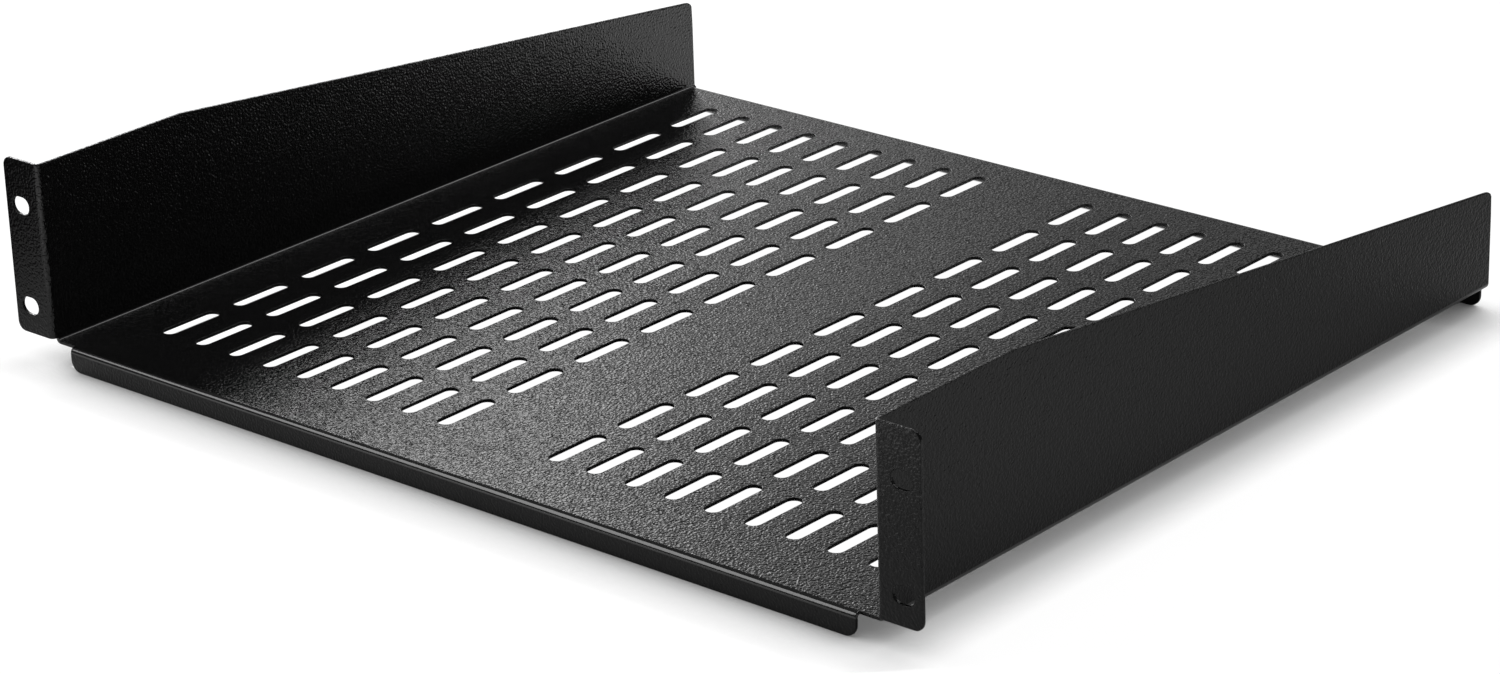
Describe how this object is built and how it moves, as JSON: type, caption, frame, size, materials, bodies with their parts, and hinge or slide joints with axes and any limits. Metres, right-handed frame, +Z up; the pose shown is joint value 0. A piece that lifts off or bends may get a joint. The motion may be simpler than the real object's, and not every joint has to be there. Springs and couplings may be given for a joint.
{
  "type": "rack shelf",
  "caption": "Vented cantilever rack shelf folded from sheet steel: slotted tray between tapered side walls, lips front and rear, and slotted ears that bolt to the front rails.",
  "frame": {"origin": "middle of the underside, at the lower edge of the lips", "axes": "+X to the right seen from the front, +Y from the ears towards the back, +Z up"},
  "size_m": [0.4826, 0.405, 0.0885],
  "materials": {
    "powder_coat": "black powder coat with a fine pebbled texture, satin"
  },
  "bodies": {
    "root": {"shelf": "powder_coat"}
  },
  "joints": []
}
